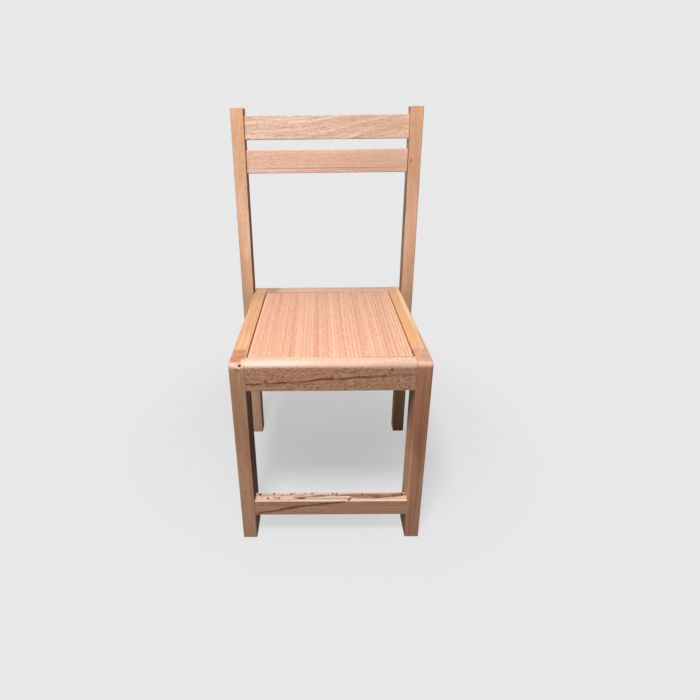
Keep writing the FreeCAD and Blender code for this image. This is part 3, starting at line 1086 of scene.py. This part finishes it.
@dataclass
class SeatFrame:
    """The four rails under the edge of the seat, the front one cracked along its face."""

    sides: Mapping[str, Beech] = field(default_factory=lambda: {
        "left_side_rail": LEFT_RAIL, "right_side_rail": RIGHT_RAIL})
    back: Beech = BACK_RAIL
    front: Beech = FRONT_RAIL
    front_round: float = 9.0
    arris: float = 0.6
    step: float = 0.75
    crack: Line = (
        (-118.5, 287, 0.8), (-107, 287.1, 1), (-98.6, 288, 0.7), (-92, 288, 0.25),
        (-86.5, 288, 0.6), (-79.1, 288.4, 0.7), (-72.5, 289.5, 1), (-65, 289.5, 1),
        (-57.7, 289.4, 0.6), (-41.4, 289.9, 0.7), (-24.2, 292.3, 0.8), (-19.5, 293.9, 0.9),
        (-13.9, 295.2, 1), (2.7, 295.3, 1), (6, 295, 0.5), (15.6, 295.2, 0.8),
        (24.9, 295.6, 0.8), (31.2, 297.1, 0.7), (39.5, 298.2, 1), (49.8, 297.8, 0.8),
        (68.1, 299, 0.6), (74.2, 299.3, 1), (78, 299.4, 0.5), (95.6, 300.4, 0.5),
        (118, 300, 0.35))
    nail_marks: Line = ((84.7, 308.8, 3.2), (-90.5, 291.6, 3.2))
    # Painted shade along the seam where the seat meets the rail's top: places along the rail and
    # how dark
    seam_shade_line: tuple[Point, ...] = ((-30, 0), (20, 0.5), (60, 0.9), (117, 0.9))
    joint_inset: float = 1.0

    def build(self) -> None:
        """Dresses the side and back rails and carves the front one."""
        dress_boards(self.sides, Grain.Y)
        dress_boards({"back_rail": self.back}, Grain.X)
        CarvedBoard("front_rail", self.front, self.front_round, self.arris, self.step,
                    self._scars()).build()

    def _scars(self) -> list[Scar]:
        """Marks the front rail.

        Returns:
            The crack with its dark sides, painted shade along the seam with the seat, and the nail
            marks.
        """
        # A painted shade line on the rail's top, just inside its back edge, stands for the gap by
        # the seat
        seam = corners_of("front_rail")[1][1] - self.joint_inset
        seam_shade = tuple((x, seam, share) for x, share in self.seam_shade_line)
        scars: list[Scar] = [
            Crack(Face.FRONT, dark=0.6, points=self.crack, width=9, seed=1.3),
            Crack(Face.FRONT, depth=0.15, dark=1, points=self.crack, width=5.8, seed=1.3),
            Crack(Face.TOP, dark=0.7, points=seam_shade, width=3.4, waver=0.3, seed=2.2),
        ]
        scars += [Dent(Face.FRONT, depth=0.15, dark=1, middle=(x, z), radius=radius)
                  for x, z, radius in self.nail_marks]
        return scars


@dataclass
class Stretcher:
    """The low rail between the front legs, with a strip torn out of its top.

    What lies on the top is measured back from the front face.
    """

    wood: Beech = STRETCHER_WOOD
    arris: float = 1.0
    step: float = 0.6
    lens: Line = (
        (-63, 9.4, 10.4), (-50.5, 5.4, 10.6), (-42, 5, 10.8), (-37, 7.4, 11.2),
        (-32, 9.8, 11))
    split: Line = (
        (-36, 9, 1), (-29.5, 10.2, 0.9), (-9, 11.2, 0.9), (1.2, 11.8, 1),
        (9.3, 12.6, 0.9), (25, 13, 1))
    recess: Line = (
        (20, 12.4, 14.6), (27, 11, 16), (36.5, 9, 16.6), (45, 7.2, 16.6),
        (54.5, 5.8, 16.4), (75, 6, 16.4), (95, 7.4, 16.8), (110, 9.6, 17.2),
        (118, 11, 17.6))
    dark_ends: tuple[Line, ...] = (
        ((24, 12.6, 14), (36, 10.8, 15), (48, 10.8, 14.8), (58, 12.2, 13.4)),
        ((64, 8.6, 9.2), (72, 6.8, 12), (84, 7.8, 13), (95, 9.2, 14.4),
         (108, 12.4, 14.6)))
    ridge: Line = (
        (-40, 6.6, 0.4), (-36.8, 7.5, 0.8), (-24.2, 8.3, 0.8), (1.1, 9.4, 1),
        (22.7, 9.3, 1), (28.4, 9, 1), (31.7, 7.8, 1), (34.3, 5.7, 0.8))
    hook: Line = (
        (26.6, 1.6, 0.8), (29, 4, 1), (31, 6, 1), (33.2, 7.8, 0.6))
    chip: Place = (35.6, 4.8, 4.2)
    crease: Line = (
        (-118, 1.9, 5), (-60, 2, 5.4), (-35, 3, 8), (0, 3.2, 8.4),
        (30, 3.2, 8.6), (45, 3.4, 8), (60, 3.6, 6))
    pits: Line = (
        (-112.1, 15.6, 4.2), (-89.8, 16.6, 3), (-76.2, 13.3, 2), (-62.5, 15.3, 2.8),
        (-57.9, 17.4, 2.4), (-40.2, 16.8, 2.1), (-29.6, 16.8, 2.6), (-98.9, 7.2, 2.5),
        (-87.5, 8.5, 2.5), (-81.9, 7.8, 2.8), (3.7, 16, 2.8), (10, 15.4, 2.5),
        (50.4, 15.8, 2.1), (113.6, 16, 3.3))
    streak: Line = (
        (-117, 50.8, 0.7), (-92.9, 54.8, 0.9), (-76.9, 58.2, 1), (-61, 62.2, 1),
        (-42, 65.5, 0.9), (-24.2, 67.8, 0.8), (-13.7, 69.1, 1), (0.9, 70.9, 0.9),
        (13.3, 72.7, 1), (23.4, 73.8, 0.7))
    # Pale raised fibres along the front edge of the top, partly a painted highlight: how far back
    # and how strong
    edge_fibres_and_highlight: Point = (1.2, 0.9)

    def build(self) -> None:
        """Carves the stretcher between the legs."""
        CarvedBoard("front_stretcher", self.wood, self.arris, self.arris, self.step,
                    self._scars()).build()

    def _scars(self) -> list[Scar]:
        """Marks the stretcher.

        Returns:
            The tears and pits of the top, and the streak on the face.
        """
        front, reach = corners_of("front_stretcher")[0][1], CarvedBoard.reach()

        def strip(places: Line) -> Line:
            """Moves a torn strip's edges back from the front face."""
            return tuple((x, front + near, front + far) for x, near, far in places)

        def line(places: Line) -> Line:
            """Moves a line back from the front face."""
            return tuple((x, front + y, strength) for x, y, strength in places)

        def dents(places: Line, depth: float, **marks: float) -> list[Scar]:
            """Round pits back from the front face, or bumps where the depth is below 0."""
            return [Dent(Face.TOP, depth, middle=(x, y), radius=radius, **marks)
                    for x, y, radius in line(places)]

        # The pale line of raised fibres along the front edge is partly a painted highlight
        edge = line(tuple((x, *self.edge_fibres_and_highlight) for x in (-reach, reach)))
        streak = {"points": self.streak, "waver": 0.5, "seed": 4.7}
        return [
            Trough(Face.TOP, 0.3, dark=0.4, stations=strip(self.crease), slope=1.2, seed=4.6),
            Trough(Face.TOP, 2.4, dark=1, stations=strip(self.lens), slope=0.9, seed=2.1),
            Crack(Face.TOP, 1.8, dark=1, points=line(self.split), width=5, waver=0.3, seed=5.3),
            Trough(Face.TOP, 1.8, dark=0.9, stations=strip(self.recess), seed=2.1),
            Crack(Face.TOP, -0.8, torn=1, points=line(self.ridge), width=4, waver=0.4, seed=3.3),
            Crack(Face.TOP, 2.2, dark=1, points=line(self.hook), width=7, waver=0.2, seed=6.1),
            *dents((self.chip,), -0.9, torn=1),
            Crack(Face.TOP, -0.2, torn=1, points=edge, width=8, waver=0.4, seed=8.8),
            Crack(Face.FRONT, dark=0.55, width=10, **streak),
            Crack(Face.FRONT, 0.15, dark=0.95, width=4.8, **streak),
            *(Trough(Face.TOP, 0.8, dark=1, stations=strip(places), seed=9.4)
              for places in self.dark_ends),
            *dents(self.pits, 1.4, dark=1),
        ]


@dataclass
class Seat:
    """The veneered panel, the cleats under it, and the hidden dowels and screws."""

    veneer: Veneer = Veneer()
    cleat: Beech = CLEAT_WOOD
    dowel: Beech = DOWEL_WOOD
    screw: Steel = Steel(Tone(206, 202, 190), Tone(150, 146, 134), 0.35)

    def build(self) -> None:
        """Dresses the panel and what holds it."""
        dress("seat_panel", self.veneer.material("seat_panel", "seat_panel"))
        dress_boards({"left_seat_cleat": self.cleat, "right_seat_cleat": self.cleat}, Grain.Y)
        dress_boards({"front_seat_cleat": self.cleat, "back_seat_cleat": self.cleat}, Grain.X)
        for node, grain in {"side_rail_dowels": Grain.Y, "back_rail_dowels": Grain.X}.items():
            dress(node, self.dowel.material(node, grain, node), SHARP_EDGE)
        steel = self.screw.material("screw_steel")
        for node in ("left_post_screws", "right_post_screws", "cleat_screws", "panel_screws"):
            dress(node, steel, SHARP_EDGE)


@dataclass(frozen=True)
class Lamp:
    """A square soft white lamp that hangs at a place and looks at another."""

    name: str
    place: Place
    aim: Place
    size: float
    power: float

    def build(self) -> None:
        """Hangs the lamp."""
        light = bpy.data.lights.new(self.name, "AREA")
        light.size = self.size
        light.energy = self.power
        lamp = bpy.data.objects.new(self.name, light)
        lamp.location = self.place
        look = Vector(self.aim) - Vector(self.place)
        lamp.rotation_euler = look.to_track_quat("-Z", "Y").to_euler()
        lamp.visible_camera = False
        bpy.context.scene.collection.objects.link(lamp)


@dataclass
class Studio:
    """A round pale floor that sweeps up into a wall, soft lamps and the camera."""

    floor_radius: float = 2.6
    sweep: float = 1.6
    wall: float = 3.0
    segments: int = 96
    arc_steps: int = 14
    pale: Tone = Tone(232, 232, 233)
    shade: Tone = Tone(88, 88, 88)
    sky: float = 0.07
    shadow_share: float = 0.42
    shadow_middle: Place = (0.0, 0.15, 0.0)
    shadow_edge: Point = (0.1, 0.5)
    lamps: tuple[Lamp, ...] = (
        Lamp("key", (-0.15, -0.7, 1.42), (0.0, 0.0, 0.35), 0.26, 17.3),
        Lamp("overhead", (0.0, 0.0, 2.4), (0.0, 0.0, 0.3), 1.0, 6.2),
        Lamp("fill", (-1.05, -1.1, 0.2), (0.05, -0.1, 0.1), 0.8, 4.4),
        Lamp("behind", (-0.25, 1.7, 0.36), (0.0, 0.1, 0.3), 0.8, 8.0),
    )
    eye: Place = (-0.0128406, -0.7061288, 0.6302005)
    yaw: float = -0.5002
    pitch: float = 21.4214
    roll: float = 0.6844
    sensor: float = 36.0
    lens: float = 23.6263
    shift: Point = (0.047076, -0.0714286)

    def build(self) -> None:
        """Sets the floor, the light and the camera."""
        self._floor()
        for lamp in self.lamps:
            lamp.build()
        self._sky()
        self._camera()
        bpy.context.scene.view_settings.view_transform = "Standard"

    def _floor(self) -> None:
        """Turns the floor and its wall in one sweep."""
        profile = [(0.0, 0.0), (self.floor_radius, 0.0)]
        for step in range(1, self.arc_steps + 1):
            turn = math.pi / 2 * step / self.arc_steps
            profile.append((self.floor_radius + self.sweep * math.sin(turn),
                            self.sweep * (1 - math.cos(turn))))
        profile.append((self.floor_radius + self.sweep, self.sweep + self.wall))
        turns = [2 * math.pi * step / self.segments for step in range(self.segments)]
        points = [(radius * math.cos(turn), radius * math.sin(turn), height)
                  for radius, height in profile for turn in turns]
        floor = new_piece("studio_floor", points, ring_faces(len(profile), self.segments))
        floor.data.materials.append(self._paper())

    def _paper(self) -> bpy.types.Material:
        """Makes paper that is pale to the camera, and darker to the light that bounces off it.

        Returns:
            The material, which keeps the chair's shadow near its feet and glows farther out.
        """
        graph = Graph(bpy.data.materials.new("studio_paper"))
        raw = graph.signal("ShaderNodeTexCoord", "Object")
        reach = graph.vector("LENGTH", graph.vector("SUBTRACT", raw, self.shadow_middle))
        glow = 1 - self.shadow_share * reach.fall(*self.shadow_edge)
        near = graph.signal("ShaderNodeBsdfDiffuse", 0, None, {"Color": self.pale.linear()})
        far = graph.signal("ShaderNodeEmission", 0, None, {"Color": self.pale.linear()})
        bounce = graph.signal("ShaderNodeBsdfDiffuse", 0, None, {"Color": self.shade.linear()})
        both = graph.mix_shaders(graph.shown(), bounce, graph.mix_shaders(glow, near, far))
        graph.node("ShaderNodeOutputMaterial", None, {"Surface": both})
        return graph.owner

    def _sky(self) -> None:
        """Even grey light from the open top of the studio, which looks as pale as the paper."""
        graph = Graph(bpy.data.worlds.new("studio_sky"))
        light, paper = (
            graph.signal("ShaderNodeBackground", 0, None, {"Color": colour, "Strength": strength})
            for colour, strength in (((1.0,) * 4, self.sky), (self.pale.linear(), 1.0)))
        both = graph.mix_shaders(graph.shown(), light, paper)
        graph.node("ShaderNodeOutputWorld", None, {"Surface": both})
        bpy.context.scene.world = graph.owner

    def _camera(self) -> None:
        """Places the camera as it stood for the photograph."""
        data = bpy.data.cameras.new("photo_camera")
        data.sensor_width = self.sensor
        data.lens = self.lens
        data.shift_x, data.shift_y = self.shift
        yaw, pitch, roll = (math.radians(angle) for angle in (self.yaw, self.pitch, self.roll))
        right = Vector((math.cos(yaw), -math.sin(yaw), 0.0))
        ahead = Vector((math.sin(yaw) * math.cos(pitch), math.cos(yaw) * math.cos(pitch),
                        -math.sin(pitch)))
        upward = Vector((math.sin(yaw) * math.sin(pitch), math.cos(yaw) * math.sin(pitch),
                         math.cos(pitch)))
        side = right * math.cos(roll) - upward * math.sin(roll)
        rise = right * math.sin(roll) + upward * math.cos(roll)
        turn = Matrix((side, rise, -ahead)).transposed().to_4x4()
        camera = bpy.data.objects.new("photo_camera", data)
        camera.matrix_world = Matrix.Translation(self.eye) @ turn
        bpy.context.scene.collection.objects.link(camera)
        bpy.context.scene.camera = camera


def main() -> None:
    """Builds the chair's parts in order."""
    logging.basicConfig(level=logging.INFO, format="%(name)s: %(message)s")
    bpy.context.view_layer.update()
    for part in (Backrest(), FrontLegs(), SeatFrame(), Stretcher(), Seat(), Studio()):
        part.build()
        LOG.info("built %s", type(part).__name__)


if __name__ == "__main__":
    main()
